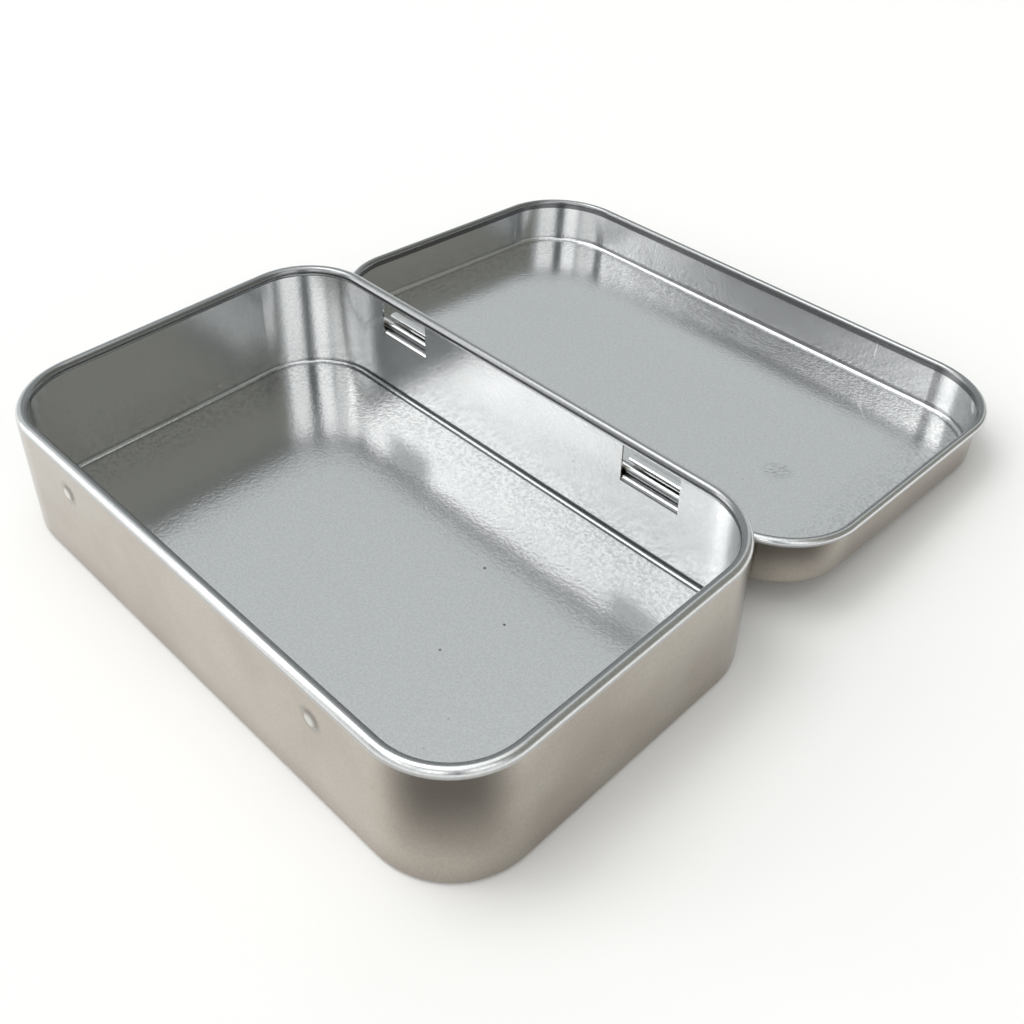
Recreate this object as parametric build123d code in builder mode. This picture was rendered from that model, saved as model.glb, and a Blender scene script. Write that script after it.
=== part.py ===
"""Hinged mint tin of bare tinplate, lying open with its lid turned right back.

Two drawn pans make the whole tin. The base is the deep pan: its rim is curled inwards, two pips
on its front wall grip the lid, and two tongues lanced from its rear wall are rolled into the
hinge knuckles. The lid is the shallow pan: its rim is curled outwards, and two slots under that
curl leave it bare as the bar that turns in the knuckles.

The origin is the centre of the base's underside. +X runs along the tin, to the right as seen
from the front, +Y points to the hinge side and +Z is up. Lengths are in millimetres.
"""

from build123d import *
import math
import os

# Sheet metal that both pans are drawn from
sheet = 0.25
curl_turn = 300           # angle that each rim's curl is rolled through

# Base pan
base_length = 92.5
base_width = 56.8
base_height = 19.1
corner_radius = 11.5      # plan radius of the base's corners, outside
base_floor_bend = 0.5     # inside radius where the floor turns up into the wall
base_curl_diameter = 1.7

# Lid pan and how it sits on the base
hinge_drop = 7.35         # from the top of the base's rim down to the hinge axis
lid_floor_bend = 0.6      # inside radius where the lid's top turns into its skirt
lid_curl_diameter = 1.32
seat_gap = 0.06           # between the closed lid and the base's rim
swing_gap = 0.1           # least room as the lid's front rim swings past the base's rim

# Hinges
hinge_spacing = 49.4      # between the centres of the two knuckles
window_width = 9.9
slit = 0.12               # width of the lanced cut at each side of a tongue
tongue_bend = 0.45        # inside radius where a tongue leaves the wall
knuckle_bore = 2.3        # inside diameter of the rolled tongue
knuckle_gap = 0.08        # between the lid's curl and the tongue under it
knuckle_reach = 0.65      # knuckle centre, outwards of the hinge axis
knuckle_wrap = 216        # angle that the tongue is rolled through
tongue_corner = 0.5       # rounding of the tongue's free corners
slot_side_gap = 0.4       # lid slot, beyond the window at each side
slot_end_gap = 0.2        # lid slot, beyond the knuckle's reach from the axis

# Latch pips
pip_spacing = 50.2
pip_drop = 4.8            # from the top of the base's rim down to a pip's centre
pip_diameter = 2.8        # where it runs out into the wall
pip_gap = 0.12            # between a pip and the closed lid
pip_blend = 0.6           # hollow radius round the foot of a pip

# Overrun of every cut past the face that it leaves
cut_overrun = 0.5

# Base, worked out
base_curl_radius = base_curl_diameter / 2
base_curl_z = base_height - base_curl_radius
rear_wall_y = base_width / 2

# Lid, worked out: its front rim swings inwards while it rises to the base's rim
lid_curl_radius = lid_curl_diameter / 2
swing_rise = hinge_drop - base_curl_radius
lid_clearance = swing_gap + swing_rise**2 / (2 * base_width)
lid_inner_length = base_length + 2 * lid_clearance
lid_inner_width = base_width + 2 * lid_clearance
lid_inner_corner = corner_radius + lid_clearance
lid_depth = hinge_drop + seat_gap + sheet

# Hinge axis: the centre of the lid's curl on the rear side
hinge_y = rear_wall_y + lid_clearance + lid_curl_radius
hinge_z = base_height - hinge_drop

# The open lid leans until the bend of its far edge lies on the surface that the base stands on
far_bend_y = lid_curl_radius + lid_inner_width - lid_floor_bend
far_bend_drop = lid_depth - sheet - lid_floor_bend
far_bend_height = lid_floor_bend + sheet
lean = math.asin((hinge_z - far_bend_height) / math.hypot(far_bend_y, far_bend_drop))
lean -= math.atan2(far_bend_drop, far_bend_y)

# Planes: the base's rim, and the lid's rim as it lies open
base_rim = Plane.XY.offset(base_curl_z)
lid_up = (0, math.sin(lean), math.cos(lean))
hinge = Plane(origin=(0, hinge_y, hinge_z), x_dir=(1, 0, 0), z_dir=lid_up)
lid_middle = hinge.from_local_coords((0, lid_curl_radius + lid_inner_width / 2, 0))
lid_rim = Plane(origin=lid_middle, x_dir=(1, 0, 0), z_dir=lid_up)

# Tongue and knuckle, worked out
tongue_width = window_width - 2 * slit
knuckle_radius = knuckle_bore / 2 + sheet
knuckle_y = hinge_y + knuckle_reach
knuckle_z = hinge_z - lid_curl_radius - knuckle_gap + knuckle_bore / 2
tongue_underside_z = knuckle_z - knuckle_radius
tongue_root_z = tongue_underside_z - tongue_bend
tongue_length = (
    math.radians(90) * (tongue_bend + sheet / 2)
    + knuckle_y - rear_wall_y - tongue_bend
    + math.radians(knuckle_wrap) * (knuckle_bore + sheet) / 2
)
knuckle_sweep = math.hypot(knuckle_reach, knuckle_z - hinge_z) + knuckle_radius
slot_width = window_width + 2 * slot_side_gap
slot_top = lid_curl_radius * math.sin(math.radians(360 - curl_turn) / 2)
slot_depth = knuckle_sweep + slot_end_gap - slot_top
hinge_wall = Plane(
    origin=hinge.from_local_coords((0, lid_curl_radius, 0)), x_dir=(1, 0, 0), z_dir=-hinge.y_dir
)

# Pips, worked out
pip_height = lid_clearance - pip_gap
pip_radius = pip_diameter / 2
pip_centres = (pip_radius**2 + pip_height**2) / (2 * pip_height)
pip_crown = pip_centres - pip_blend

# Planes on the base's walls: latch pips on the front, foot of the windows on the rear
front_wall = Plane(
    origin=(0, -base_width / 2, base_height - pip_drop), x_dir=(1, 0, 0), z_dir=(0, -1, 0)
)
rear_wall = Plane(origin=(0, rear_wall_y, tongue_root_z), x_dir=(1, 0, 0), z_dir=(0, -1, 0))


def drawn_pan(floor, length, width, corner, depth, bend):
    """A pan pressed from one sheet, standing on the plane of its floor. Its sizes are outside
    ones, but the bend between floor and wall is measured inside."""
    up = Axis(floor.origin, floor.z_dir)
    with BuildPart() as pan:
        with BuildSketch(floor):
            RectangleRounded(length, width, corner)
        extrude(amount=depth)
        fillet(pan.faces().sort_by(up)[0].edges(), bend + sheet)
        offset(amount=-sheet, openings=pan.faces().sort_by(up)[-1])
    return pan.part


def rim_curl(rim, length, width, corner, curl_radius, wall_side):
    """The rolled edge of a pan, whose centre runs round the given rounded rectangle. wall_side
    is 1 where the wall stands inside that line, and -1 where it stands outside."""
    section_plane = Plane(
        origin=rim.from_local_coords((0, -width / 2, 0)),
        x_dir=rim.y_dir * wall_side,
        z_dir=rim.x_dir * wall_side,
    )
    with BuildPart() as curl:
        with BuildLine(rim) as path:
            FilletPolyline(
                (0, -width / 2),
                (length / 2, -width / 2),
                (length / 2, width / 2),
                (0, width / 2),
                radius=corner,
            )
        with BuildSketch(section_plane):
            with BuildLine():
                outside = CenterArc((0, 0), curl_radius, 0, curl_turn)
                inside = CenterArc((0, 0), curl_radius - sheet, 0, curl_turn)
                Line(inside @ 0, outside @ 0)
                Line(inside @ 1, outside @ 1)
            make_face()
        sweep(path=path.line)
        mirror(about=Plane(origin=rim.origin, x_dir=rim.y_dir, z_dir=rim.x_dir))
    return curl.part


def hinge_tongue():
    """The tongue that is lanced from the rear wall, bent outwards and rolled into a knuckle."""
    with BuildPart() as tongue:
        with BuildSketch(Plane.YZ):
            with BuildLine() as underside:
                root = JernArc((rear_wall_y, tongue_root_z), (0, 1), tongue_bend, -90)
                run = Line(root @ 1, (knuckle_y, tongue_underside_z))
                roll = JernArc(run @ 1, (1, 0), knuckle_radius, knuckle_wrap)
                offset(underside.line, amount=sheet, side=Side.RIGHT)
            make_face()
        extrude(amount=tongue_width / 2, both=True)
        free_end = Plane.YZ.from_local_coords(roll @ 1)
        end_face = tongue.faces().filter_by(GeomType.PLANE).sort_by_distance(free_end)[0]
        fillet(end_face.edges().sort_by(SortBy.LENGTH)[:2], tongue_corner)
    return tongue.part


def pip(crown, blend):
    """A latch pip on a wall that lies on XY: a round crown run out to the wall by a hollow arc."""
    slope = math.degrees(math.atan2(pip_centres - pip_height, pip_radius))
    with BuildPart() as bump:
        with BuildSketch(Plane.XZ):
            with BuildLine():
                top = CenterArc((0, pip_height - crown), crown, slope, 90 - slope)
                foot = CenterArc((pip_radius, blend), blend, 180 + slope, 90 - slope)
                Polyline(foot @ 1, (0, 0), top @ 1)
            make_face()
        revolve(axis=Axis.Z)
    return bump.part


# Base pan: drawn shell, windows left by the tongues, rim, knuckles and latch pips
base_shell = drawn_pan(
    Plane.XY, base_length, base_width, corner_radius, base_curl_z, base_floor_bend
)
base_curl = rim_curl(
    base_rim,
    base_length - base_curl_diameter,
    base_width - base_curl_diameter,
    corner_radius - base_curl_radius,
    base_curl_radius,
    -1,
)
tongue = hinge_tongue()

with BuildPart() as base_pan:
    add(base_shell)
    with BuildSketch(rear_wall):
        with GridLocations(hinge_spacing, 0, 2, 1):
            Rectangle(window_width, tongue_length, align=(Align.CENTER, Align.MIN))
    extrude(amount=sheet + cut_overrun, both=True, mode=Mode.SUBTRACT)
    with Locations(front_wall):
        with GridLocations(pip_spacing, 0, 2, 1):
            add(pip(pip_crown, pip_blend))
    with Locations(front_wall.offset(-sheet)):
        with GridLocations(pip_spacing, 0, 2, 1):
            add(pip(pip_crown - sheet, pip_blend + sheet), mode=Mode.SUBTRACT)
    add(base_curl)
    with GridLocations(hinge_spacing, 0, 2, 1):
        add(tongue)

base_pan.part.label = "base_pan"

# Lid pan: drawn shell, slots for the knuckles and rim
lid_floor = lid_rim.offset(-lid_depth)
lid_shell = drawn_pan(
    lid_floor,
    lid_inner_length + 2 * sheet,
    lid_inner_width + 2 * sheet,
    lid_inner_corner + sheet,
    lid_depth,
    lid_floor_bend,
)
lid_curl = rim_curl(
    lid_rim,
    lid_inner_length + lid_curl_diameter,
    lid_inner_width + lid_curl_diameter,
    lid_inner_corner + lid_curl_radius,
    lid_curl_radius,
    1,
)

with BuildPart() as lid_pan:
    add(lid_shell)
    with BuildSketch(hinge_wall):
        with Locations((0, -slot_top)):
            with GridLocations(hinge_spacing, 0, 2, 1):
                Rectangle(slot_width, slot_depth, align=(Align.CENTER, Align.MAX))
    extrude(amount=sheet + cut_overrun, both=True, mode=Mode.SUBTRACT)
    add(lid_curl)

lid_pan.part.label = "lid_pan"

# Written files
os.makedirs("parts", exist_ok=True)
export_step(base_pan.part, "parts/base_pan.step")
export_step(lid_pan.part, "parts/lid_pan.step")
print(f"hinge axis at y {hinge_y:.5f}, z {hinge_z:.5f}")
print(f"the lid closes through {180 + math.degrees(lean):.4f} degrees")
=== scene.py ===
"""Hinged mint tin of bare tinplate, lying open on a pale floor with its lid turned right back.

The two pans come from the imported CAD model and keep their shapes. This script gives them their
finish, and adds the floor, the light and the camera. It works in metres, in the CAD frame.
"""

import math

import bpy
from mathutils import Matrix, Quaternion, Vector

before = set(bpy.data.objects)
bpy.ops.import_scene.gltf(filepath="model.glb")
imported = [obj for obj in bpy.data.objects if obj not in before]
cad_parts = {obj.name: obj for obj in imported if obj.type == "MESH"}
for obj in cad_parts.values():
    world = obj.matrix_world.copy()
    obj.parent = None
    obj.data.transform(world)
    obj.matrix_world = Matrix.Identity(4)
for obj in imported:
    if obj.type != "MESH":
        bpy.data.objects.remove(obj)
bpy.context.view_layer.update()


# ---------------------------------------------------------------- camera
# The photograph's viewpoint: 17 cm from the middle of the base, to the front right and above it,
# looking down at 36 degrees with one degree of roll. All of it was fitted to the tin's outline.
def towards(azimuth, elevation):
    """The direction from the tin to a point of the room, from angles in degrees. Azimuth 0 is
    the front, and 90 the right."""
    a, e = math.radians(azimuth), math.radians(elevation)
    return Vector((math.sin(a) * math.cos(e), -math.cos(a) * math.cos(e), math.sin(e)))


camera_place = Vector((0.09827, -0.07420, 0.11961))
camera_azimuth = 44.155
camera_elevation = 35.919
camera_roll = math.radians(1.071)

camera_data = bpy.data.cameras.new("camera")
camera_data.sensor_width = 36
camera_data.lens = 43.286
camera_data.shift_y = -0.1289
camera_data.clip_start = 0.005
camera_data.clip_end = 20
camera = bpy.data.objects.new("camera", camera_data)
bpy.context.scene.collection.objects.link(camera)
camera.location = camera_place
camera.rotation_mode = "QUATERNION"
looking = -towards(camera_azimuth, camera_elevation)
camera.rotation_quaternion = looking.to_track_quat("-Z", "Y") @ Quaternion((0, 0, 1), camera_roll)
bpy.context.scene.camera = camera
bpy.context.scene.view_settings.view_transform = "Standard"


# ---------------------------------------------------------------- floor and light
# A large sheet of matt white card that the tin stands on, under two square soft boxes. The room
# round it is plain, and is hung with soft-edged panels for the tin's inside to mirror.
def linear(hex_colour):
    """The linear RGBA of an sRGB colour such as "#c8c9ca"."""
    parts = [int(hex_colour[i : i + 2], 16) / 255 for i in (1, 3, 5)]
    return [c / 12.92 if c <= 0.04045 else ((c + 0.055) / 1.055) ** 2.4 for c in parts] + [1.0]


def node(tree, kind, links=None, **settings):
    """Adds a shader node. links gives inputs by name or number: a socket is linked, a value is
    set. settings are the node's own properties."""
    made = tree.nodes.new(kind)
    for name, value in settings.items():
        setattr(made, name, value)
    for name, value in (links or {}).items():
        if isinstance(value, bpy.types.NodeSocket):
            tree.links.new(value, made.inputs[name])
        else:
            made.inputs[name].default_value = value
    return made


def material(name):
    """A new material and its empty node tree."""
    made = bpy.data.materials.new(name)
    made.use_nodes = True
    made.node_tree.nodes.clear()
    return made, made.node_tree


floor_reach = 1.5
floor_mesh = bpy.data.meshes.new("floor")
floor_mesh.from_pydata(
    [(x * floor_reach, y * floor_reach, 0) for x, y in ((-1, -1), (1, -1), (1, 1), (-1, 1))],
    [],
    [(0, 1, 2, 3)],
)
floor = bpy.data.objects.new("floor", floor_mesh)
bpy.context.scene.collection.objects.link(floor)

# Uncoated white card: fully matt, and a touch warm
card, tree = material("matt_white_card")
shader = node(
    tree,
    "ShaderNodeBsdfPrincipled",
    {"Base Color": linear("#fbfaf8"), "Roughness": 0.9, "Specular IOR Level": 0.1},
)
node(tree, "ShaderNodeOutputMaterial", {"Surface": shader.outputs["BSDF"]})
floor_mesh.materials.append(card)


def soft_box(name, azimuth, elevation, distance, side, radiance):
    """A square soft box aimed at the tin, from a direction in degrees."""
    data = bpy.data.lights.new(name, "AREA")
    data.size = side
    data.energy = radiance * math.pi * side**2
    box = bpy.data.objects.new(name, data)
    bpy.context.scene.collection.objects.link(box)
    back = towards(azimuth, elevation)
    box.location = back * distance
    box.rotation_mode = "QUATERNION"
    box.rotation_quaternion = (-back).to_track_quat("-Z", "Y")


soft_box("high_soft_box", azimuth=-62, elevation=66, distance=3, side=1.5, radiance=3.1)
soft_box("ceiling_soft_box", azimuth=0, elevation=90, distance=3, side=2.4, radiance=0.8)


def ramp(tree, value, start, end):
    """Rises smoothly from 0 to 1 as the value goes from start to end."""
    return node(
        tree,
        "ShaderNodeMapRange",
        {"Value": value, "From Min": start, "From Max": end},
        interpolation_type="SMOOTHSTEP",
    ).outputs["Result"]


def number(tree, operation, *values):
    """The result of one sum, whose values are numbers or sockets."""
    return node(tree, "ShaderNodeMath", dict(enumerate(values)), operation=operation).outputs[0]


def both(tree, *shares):
    """Where all of the shares hold."""
    held = shares[0]
    for share in shares[1:]:
        held = number(tree, "MULTIPLY", held, share)
    return held


def blend_colour(tree, share, first, second):
    """Mixes two colours, each a socket, a linear colour or an sRGB hex value."""
    first, second = [linear(c) if isinstance(c, str) else c for c in (first, second)]
    return node(
        tree, "ShaderNodeMix", {0: share, 6: first, 7: second}, data_type="RGBA"
    ).outputs[2]


world = bpy.data.worlds.new("studio")
world.use_nodes = True
world.node_tree.nodes.clear()
tree = world.node_tree
direction = node(tree, "ShaderNodeTexCoord").outputs["Generated"]
east, north, height = node(tree, "ShaderNodeSeparateXYZ", {"Vector": direction}).outputs
azimuth = number(tree, "ARCTAN2", east, number(tree, "MULTIPLY", north, -1))
elevation = number(tree, "ARCSINE", height)


def hang(wall, panels):
    """Hangs panels on the room's wall, each over the ones before it."""
    for left, right, low, high, edge, colour, brightness in panels:
        left, right, low, high, edge = [math.radians(v) for v in (left, right, low, high, edge)]
        share = both(
            tree,
            ramp(tree, azimuth, left - edge, left + edge),
            ramp(tree, azimuth, right + edge, right - edge),
            ramp(tree, elevation, low - edge, low + edge),
            ramp(tree, elevation, high + edge, high - edge),
        )
        wall = blend_colour(tree, share, wall, [c * brightness for c in linear(colour)])
    return wall


# Each panel: left, right, low and high side and the soft edge in degrees, colour, brightness.
# Their places were fitted to what the photograph shows in each wall of the tin.
high_panels = [
    (98, 182, -10, 80, 10, "#8f8f88", 1),          # dim end of the room, behind on the right
    (59, 90, 20, 55, 3, "#ffffff", 1.35),          # right: pale panel, grey one, brighter one
    (43, 58, -10, 52, 3, "#5f6568", 1),
    (18, 42, 18, 52, 3, "#ffffff", 1.6),
    (-66, -12, -10, 34, 3, "#c2c6c8", 1),          # front left: low grey panel with two lit bands
    (-66, -37, 4, 30.5, 1, "#ffffff", 2.4),
    (-66, -37, 30.5, 35, 1, "#ffffff", 1.1),
    (-37.5, -34, 24, 37, 1.5, "#c4c8ca", 1),       # post and dark panel, for the lid's far wall
    (-35, -23.5, 24, 38, 1.5, "#101618", 1),
    (-66, -44, 35.5, 46, 1, "#ffffff", 2.6),       # row of windows above them
    (-44, -37, 37.5, 46, 1, "#ffffff", 2.6),
    (-37, -33, 39, 48, 1, "#ffffff", 1.5),
    (-33, -22.5, 39.5, 50, 1, "#ffffff", 2.4),
    (-22.5, -10, 30, 37.5, 1, "#ffffff", 1.4),
    (-22.5, -10, 37.5, 50, 1, "#ffffff", 3.2),
    (-10, 12, 20, 50, 2, "#ffffff", 1.15),
]
low_panels = [
    (-134, -100, 12, 18, 3, "#80868a", 1),         # left and behind: dark, for the rolled rims
    (-170, -132, 10, 17, 2, "#33393c", 1),
]
wall_colour = "#cfd3d4"
skirting_colour = "#fafaf9"
skirting_top, skirting_full = 0.15, 0.06           # sines of its elevations
wall = hang(wall_colour, high_panels)
skirting = ramp(tree, height, skirting_top, skirting_full)
wall = hang(blend_colour(tree, skirting, wall, skirting_colour), low_panels)
glow = node(tree, "ShaderNodeBackground", {"Color": wall})
node(tree, "ShaderNodeOutputWorld", {"Surface": glow.outputs["Background"]})
bpy.context.scene.world = world


# ---------------------------------------------------------------- base pan
# The deep pan, pressed from one sheet of tinned steel, with its rim rolled inwards and its two
# hinge tongues rolled into knuckles. It rests on the floor.
mm = 0.001


def vector(tree, operation, *values):
    """The result of one vector sum: a value for products and lengths, or else a vector."""
    made = node(tree, "ShaderNodeVectorMath", dict(enumerate(values)), operation=operation)
    return made.outputs["Value" if operation in ("DOT_PRODUCT", "LENGTH") else "Vector"]


def turned(tree, value, angle, axis):
    """A vector turned about an axis, by an angle in degrees."""
    return node(
        tree,
        "ShaderNodeVectorRotate",
        {"Vector": value, "Angle": math.radians(angle)},
        rotation_type=axis + "_AXIS",
    ).outputs["Vector"]


def noise(tree, place, width, detail):
    """Blender's noise, with features of about the given width."""
    links = {"Vector": place, "Scale": 1 / width, "Detail": detail}
    return node(tree, "ShaderNodeTexNoise", links).outputs[0]


def spot(tree, place, centre, sizes, angle):
    """A soft oval patch. Its centre is in millimetres from the middle of the pan's underside."""
    off = vector(tree, "SUBTRACT", place, [c * mm for c in centre])
    off = turned(tree, off, angle, "Z")
    off = vector(tree, "MULTIPLY", off, [1 / (size * mm) for size in sizes])
    return ramp(tree, vector(tree, "LENGTH", off), 1, 0.4)


def tinplate(name, underside, tilt, sizes, painted_shade_strength, marks):
    """Drawn tinplate: steel sheet with a bright coat of tin, pressed to a pan. The tin gives a
    neutral, slightly blurred mirror, and the press leaves fine grain. Painted shade lines run
    beside the floor's bend, and painted shade lies on the roll, the outer corners and the foot.
    The outside is warmer and calmer, as under a thin varnish.

    underside is the middle of the pan's underside and tilt its turn about X. sizes are the pan's
    outside length and width, its corner radius, the bend inside its floor and the height at
    which its roll begins, in millimetres. marks are single spots and scratches."""
    made, tree = material(name)
    coords = node(tree, "ShaderNodeTexCoord")
    place = vector(tree, "SUBTRACT", coords.outputs["Object"], underside)
    place = turned(tree, place, tilt, "X")
    facing = turned(tree, coords.outputs["Normal"], tilt, "X")
    along, _, height = node(tree, "ShaderNodeSeparateXYZ", {"Vector": place}).outputs
    _, _, facing_up = node(tree, "ShaderNodeSeparateXYZ", {"Vector": facing}).outputs
    length, width, corner, bend, wall_height = [size * mm for size in sizes]
    sheet = 0.25 * mm

    # How far in from the wall's outer face a point lies in plan
    straight = (length / 2 - corner, width / 2 - corner, 1)
    past = vector(tree, "SUBTRACT", vector(tree, "ABSOLUTE", place), straight)
    past = vector(tree, "MAXIMUM", past, (0, 0, 0))
    depth = number(tree, "SUBTRACT", corner, vector(tree, "LENGTH", past))

    # The pan's regions. The shell is all but the roll, and the edge is the floor's grained border.
    from_middle = vector(tree, "SUBTRACT", place, (0, 0, wall_height / 2))
    away = vector(tree, "DOT_PRODUCT", from_middle, facing)
    outside = ramp(tree, away, -1 * mm, 1 * mm)
    inside = number(tree, "SUBTRACT", 1, outside)
    shell = both(
        tree,
        ramp(tree, height, wall_height, wall_height - 0.3 * mm),
        ramp(tree, depth, -0.3 * mm, -0.1 * mm),
    )
    varnished = both(tree, outside, shell)
    on_floor = both(tree, inside, ramp(tree, height, 0.4 * mm, 0.3 * mm))
    on_wall = both(tree, inside, ramp(tree, height, 0.5 * mm, 1.5 * mm))
    floor_edge = both(tree, on_floor, ramp(tree, depth, 17 * mm, 8 * mm))

    # Bare tin inside, and outside the varnish with soft clouds
    bare_tin, thick_varnish, thin_varnish = "#e2e3e3", "#b3aaa0", "#bfb8ae"
    cloud_width = 12.5 * mm
    clouds = ramp(tree, noise(tree, place, cloud_width, 2), 0.3, 0.7)
    varnish = blend_colour(tree, clouds, thick_varnish, thin_varnish)
    colour = blend_colour(tree, varnished, bare_tin, varnish)

    # Painted shade. The photograph's nearest corner darkens towards the rim, and its walls darken
    # towards the foot. The room here doesn't give that, so the finish does, all the way round.
    corner_shade, corner_share = "#4d4842", 0.9
    foot_shade, foot_share, foot_height = "#5d564e", 0.25, 5 * mm
    past_x, past_y, _ = node(tree, "ShaderNodeSeparateXYZ", {"Vector": past}).outputs
    corner_turn = number(tree, "MULTIPLY", past_x, past_y)
    at_corner = both(
        tree,
        ramp(tree, corner_turn, corner**2 * 0.02, corner**2 * 0.48),
        ramp(tree, height, 0, wall_height * 0.9),
        varnished,
        corner_share,
    )
    colour = blend_colour(tree, at_corner, colour, corner_shade)
    foot = both(tree, varnished, ramp(tree, height, foot_height, 0), foot_share)
    colour = blend_colour(tree, foot, colour, foot_shade)

    # Painted shade: a dark line above and below the bend of the floor, where shade gathers in the
    # crease, and the bend a little darker. All are fainter at the left end.
    crease_shade_colour, bend_shade_colour, bend_share = "#5a6063", "#86898b", 0.25
    bend_end = sheet + bend
    line_place = bend_end + 0.1 * mm
    up_wall = number(tree, "ABSOLUTE", number(tree, "SUBTRACT", height, line_place))
    in_floor = number(tree, "ABSOLUTE", number(tree, "SUBTRACT", depth, line_place))
    wall_line = ramp(tree, up_wall, 0.4 * mm, 0.1 * mm)
    floor_line = both(
        tree,
        ramp(tree, height, 0.5 * mm, 0.35 * mm),
        ramp(tree, in_floor, 0.3 * mm, 0.1 * mm),
    )
    left_share = 0.25
    right_of_end = ramp(tree, along, -44 * mm, -34 * mm)
    not_left = number(tree, "MULTIPLY_ADD", right_of_end, 1 - left_share, left_share)
    lines = number(tree, "MAXIMUM", wall_line, floor_line)
    lines = both(tree, lines, inside, not_left, painted_shade_strength)
    colour = blend_colour(tree, lines, colour, crease_shade_colour)
    on_bend = both(
        tree,
        inside,
        ramp(tree, depth, bend_end + 0.2 * mm, bend_end),
        ramp(tree, height, bend_end + 0.2 * mm, bend_end),
        not_left,
        bend_share,
    )
    colour = blend_colour(tree, on_bend, colour, bend_shade_colour)

    # Painted shade on the roll: dark underneath, and darker on its side and its inner half,
    # which leaves it brightest on its outer shoulder.
    roll_shade, roll_side_shade, roll_shade_share = "#3d4042", "#77787a", 0.6
    under_roll = both(
        tree,
        ramp(tree, height, wall_height - 1 * mm, wall_height - 0.8 * mm),
        ramp(tree, facing_up, -0.1, -0.5),
        painted_shade_strength,
    )
    colour = blend_colour(tree, under_roll, colour, roll_shade)
    rim = ramp(tree, height, wall_height - 0.2 * mm, wall_height)
    rim_side = both(tree, rim, ramp(tree, facing_up, 0.4, 0), roll_shade_share)
    colour = blend_colour(tree, rim_side, colour, roll_side_shade)
    outwards = vector(tree, "DOT_PRODUCT", vector(tree, "MULTIPLY", place, (1, 1, 0)), facing)
    rim_inner = both(tree, rim, ramp(tree, outwards, 9 * mm, -6 * mm), roll_shade_share)
    colour = blend_colour(tree, rim_inner, colour, roll_shade)

    # Grain of the pressed sheet, whose duller flecks show beside the bend
    grain_width, fleck_colour, fleck_share = 0.5 * mm, "#5f6466", 0.2
    grains = noise(tree, place, grain_width, 2)
    near_bend = both(tree, on_floor, ramp(tree, depth, 12 * mm, 3 * mm))
    flecks = both(tree, near_bend, ramp(tree, grains, 0.42, 0.62), fleck_share)
    colour = blend_colour(tree, flecks, colour, fleck_colour)

    # Fine specks, drawn coarser than real ones so that they show, and a few larger dots
    speck_width, speck_colour, speck_share = mm / 3.3, "#3d4042", 0.1
    specks = ramp(tree, noise(tree, place, speck_width, 2), 0.35, 0.65)
    colour = blend_colour(tree, both(tree, specks, speck_share), colour, speck_colour)
    dot_spacing, dot_colour, dot_share = 4 * mm, "#4a4d4f", 0.5
    cells = node(tree, "ShaderNodeTexVoronoi", {"Vector": place, "Scale": 1 / dot_spacing})
    cell = node(tree, "ShaderNodeSeparateXYZ", {"Vector": cells.outputs["Color"]}).outputs
    dots = both(
        tree,
        ramp(tree, cells.outputs["Distance"], 0.05, 0.02),
        ramp(tree, cell["X"], 0.7, 0.72),
        dot_share,
    )
    colour = blend_colour(tree, dots, colour, dot_colour)

    # Single marks, each on one face of the sheet. A rub is broken into fine lines.
    faces = {"inside": inside, "outside": outside}
    line_spacing = 1 * mm
    for face, centre, spread, angle, share, mark_colour, rub_lines in marks:
        mark = both(tree, spot(tree, place, centre, spread, angle), share, faces[face])
        if rub_lines:
            stretched = turned(tree, place, angle, "Z")
            stretched = vector(tree, "MULTIPLY", stretched, (1, rub_lines, 1))
            rub = noise(tree, stretched, line_spacing, 1)
            mark = both(tree, mark, ramp(tree, rub, 0.5, 0.62))
        colour = blend_colour(tree, mark, colour, mark_colour)

    # Relief: slow waves in the sheet, and grain that is strong beside the floor's bend
    wave_length, wave_height, grain_height = mm / 0.11, 0.04 * mm, 0.022 * mm
    waves = node(
        tree,
        "ShaderNodeBump",
        {
            "Height": noise(tree, place, wave_length, 1),
            "Strength": shell,
            "Distance": wave_height,
        },
    )
    grain_share = number(tree, "MULTIPLY_ADD", floor_edge, 1.3, 0.2)
    grain_share = number(tree, "MULTIPLY_ADD", on_wall, 0.3, grain_share)
    grain = node(
        tree,
        "ShaderNodeBump",
        {
            "Height": grains,
            "Strength": both(tree, shell, grain_share),
            "Distance": grain_height,
            "Normal": waves.outputs["Normal"],
        },
    )

    # Bright tin blurs a mirror image a little, and the strained edge and the rim blur it more
    smooth_roughness, edge_rougher, rim_rougher = 0.155, 0.05, 0.08
    roughness = number(tree, "MULTIPLY_ADD", floor_edge, edge_rougher, smooth_roughness)
    roughness = number(tree, "MULTIPLY_ADD", rim, rim_rougher, roughness)
    shader = node(
        tree,
        "ShaderNodeBsdfPrincipled",
        {
            "Base Color": colour,
            "Metallic": 1.0,
            "Roughness": roughness,
            "Normal": grain.outputs["Normal"],
        },
    )
    node(tree, "ShaderNodeOutputMaterial", {"Surface": shader.outputs["BSDF"]})
    return made


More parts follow.
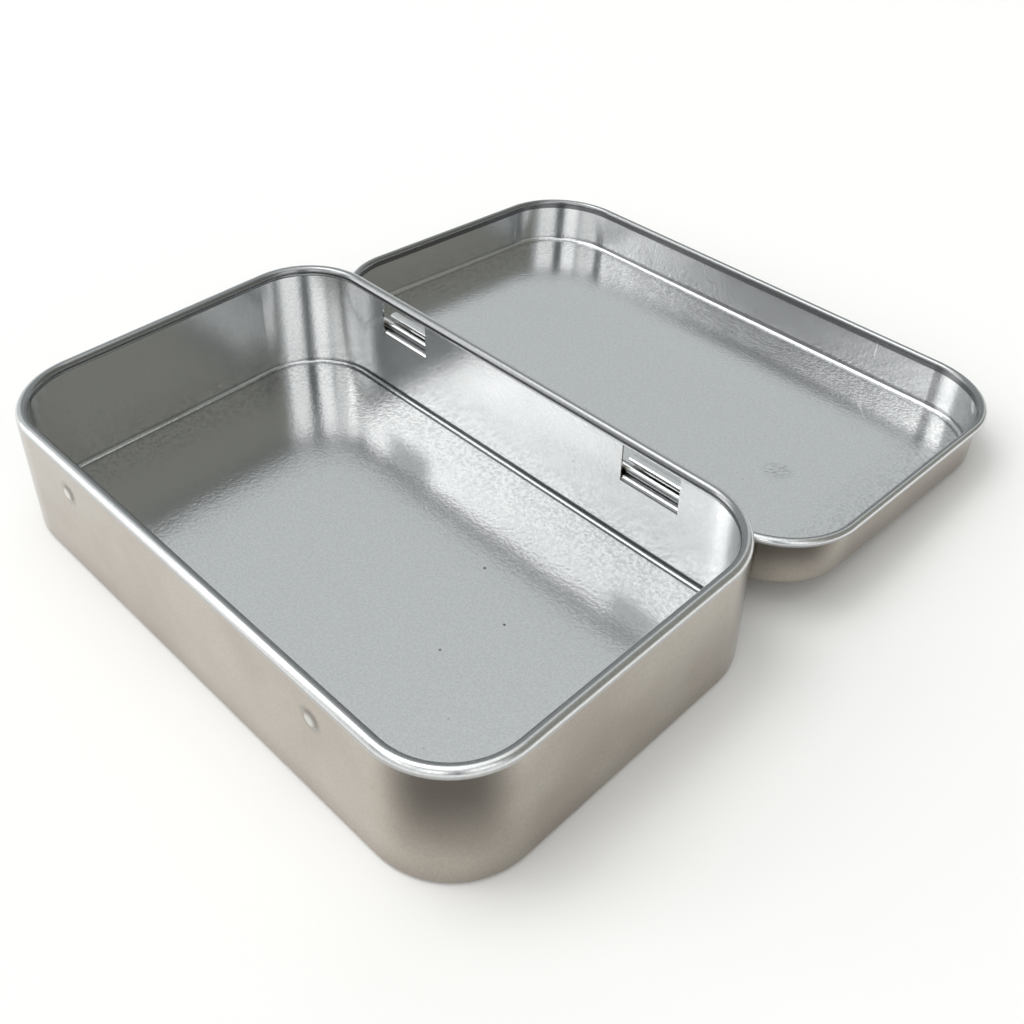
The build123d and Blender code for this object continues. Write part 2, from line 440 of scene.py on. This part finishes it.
# Marks: face, centre and spread in mm, turn in degrees, strength, colour, and lines of a rub
base_marks = [
    # Specks on the floor
    ("inside", (11.7, 10.3, 0), (0.3, 0.3, 1), 0, 0.9, "#2b2d2e", 0),
    ("inside", (20.9, 4.9, 0), (0.3, 0.25, 1), 0, 0.9, "#2b2d2e", 0),
    ("inside", (18.2, -3.9, 0), (0.25, 0.25, 1), 0, 0.8, "#2b2d2e", 0),
    # Painted shade ring and painted highlight on the crown of each latch pip
    ("outside", (25.1, -28.6, 14.3), (2.2, 2.5, 2.2), 0, 0.5, "#5b5c5c", 0),
    ("outside", (-25.1, -28.6, 14.3), (2.2, 2.5, 2.2), 0, 0.5, "#5b5c5c", 0),
    ("outside", (25.1, -28.8, 14.3), (1.1, 2, 1.1), 0, 0.65, "#e6e4e0", 0),
    ("outside", (-25.1, -28.8, 14.3), (1.1, 2, 1.1), 0, 0.75, "#eeeae4", 0),
    # Painted shade along the rear of the floor
    ("inside", (8, 24, 0), (46, 12, 1), 0, 0.2, "#5f6466", 0),
]
base_sizes = (92.5, 56.8, 11.5, 0.5, 18.2)
base_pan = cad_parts["base_pan"]
base_pan.material_slots[0].material = tinplate(
    "drawn_tinplate_base",
    underside=(0, 0, 0),
    tilt=0,
    sizes=base_sizes,
    # How dark the painted shade by the floor's bend and under the roll is
    painted_shade_strength=0.85,
    marks=base_marks,
)

# ---------------------------------------------------------------- lid pan
# The shallow pan of the same sheet, with its rim rolled outwards. It hangs in the base's
# knuckles by that rim, and its far edge rests on the floor.
lid_lean = 4.0745
hinge_axis = Vector((0, 29.53192, 11.75)) * mm
hinge_to_middle = 29.53 * mm
hinge_to_underside = 7.66 * mm
along_lid = Vector((0, math.cos(math.radians(lid_lean)), -math.sin(math.radians(lid_lean))))
down_lid = Vector((0, -math.sin(math.radians(lid_lean)), -math.cos(math.radians(lid_lean))))
lid_marks = [
    # Smudge, a lighter patch broken into fine lines, and a scratch on the floor
    ("inside", (29.2, -4.8, 0), (3.2, 2.8, 1), -50, 0.6, "#85898b", 8),
    ("inside", (36.5, 22.0, 0), (3.0, 2.2, 1), 40, 0.5, "#ffffff", 3),
    ("inside", (28.2, 19.9, 0), (3.8, 0.3, 1), 45, 0.7, "#ffffff", 0),
    # Scratch on the far wall
    ("inside", (24.4, 28.9, 5.7), (0.25, 1, 1.8), 0, 0.8, "#ffffff", 0),
]
lid_sizes = (93.94, 58.24, 12.22, 0.6, 7)
lid_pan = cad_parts["lid_pan"]
lid_pan.material_slots[0].material = tinplate(
    "drawn_tinplate_lid",
    underside=hinge_axis + along_lid * hinge_to_middle + down_lid * hinge_to_underside,
    tilt=lid_lean,
    sizes=lid_sizes,
    # How dark the painted shade by the floor's bend and under the roll is
    painted_shade_strength=0.4,
    marks=lid_marks,
)
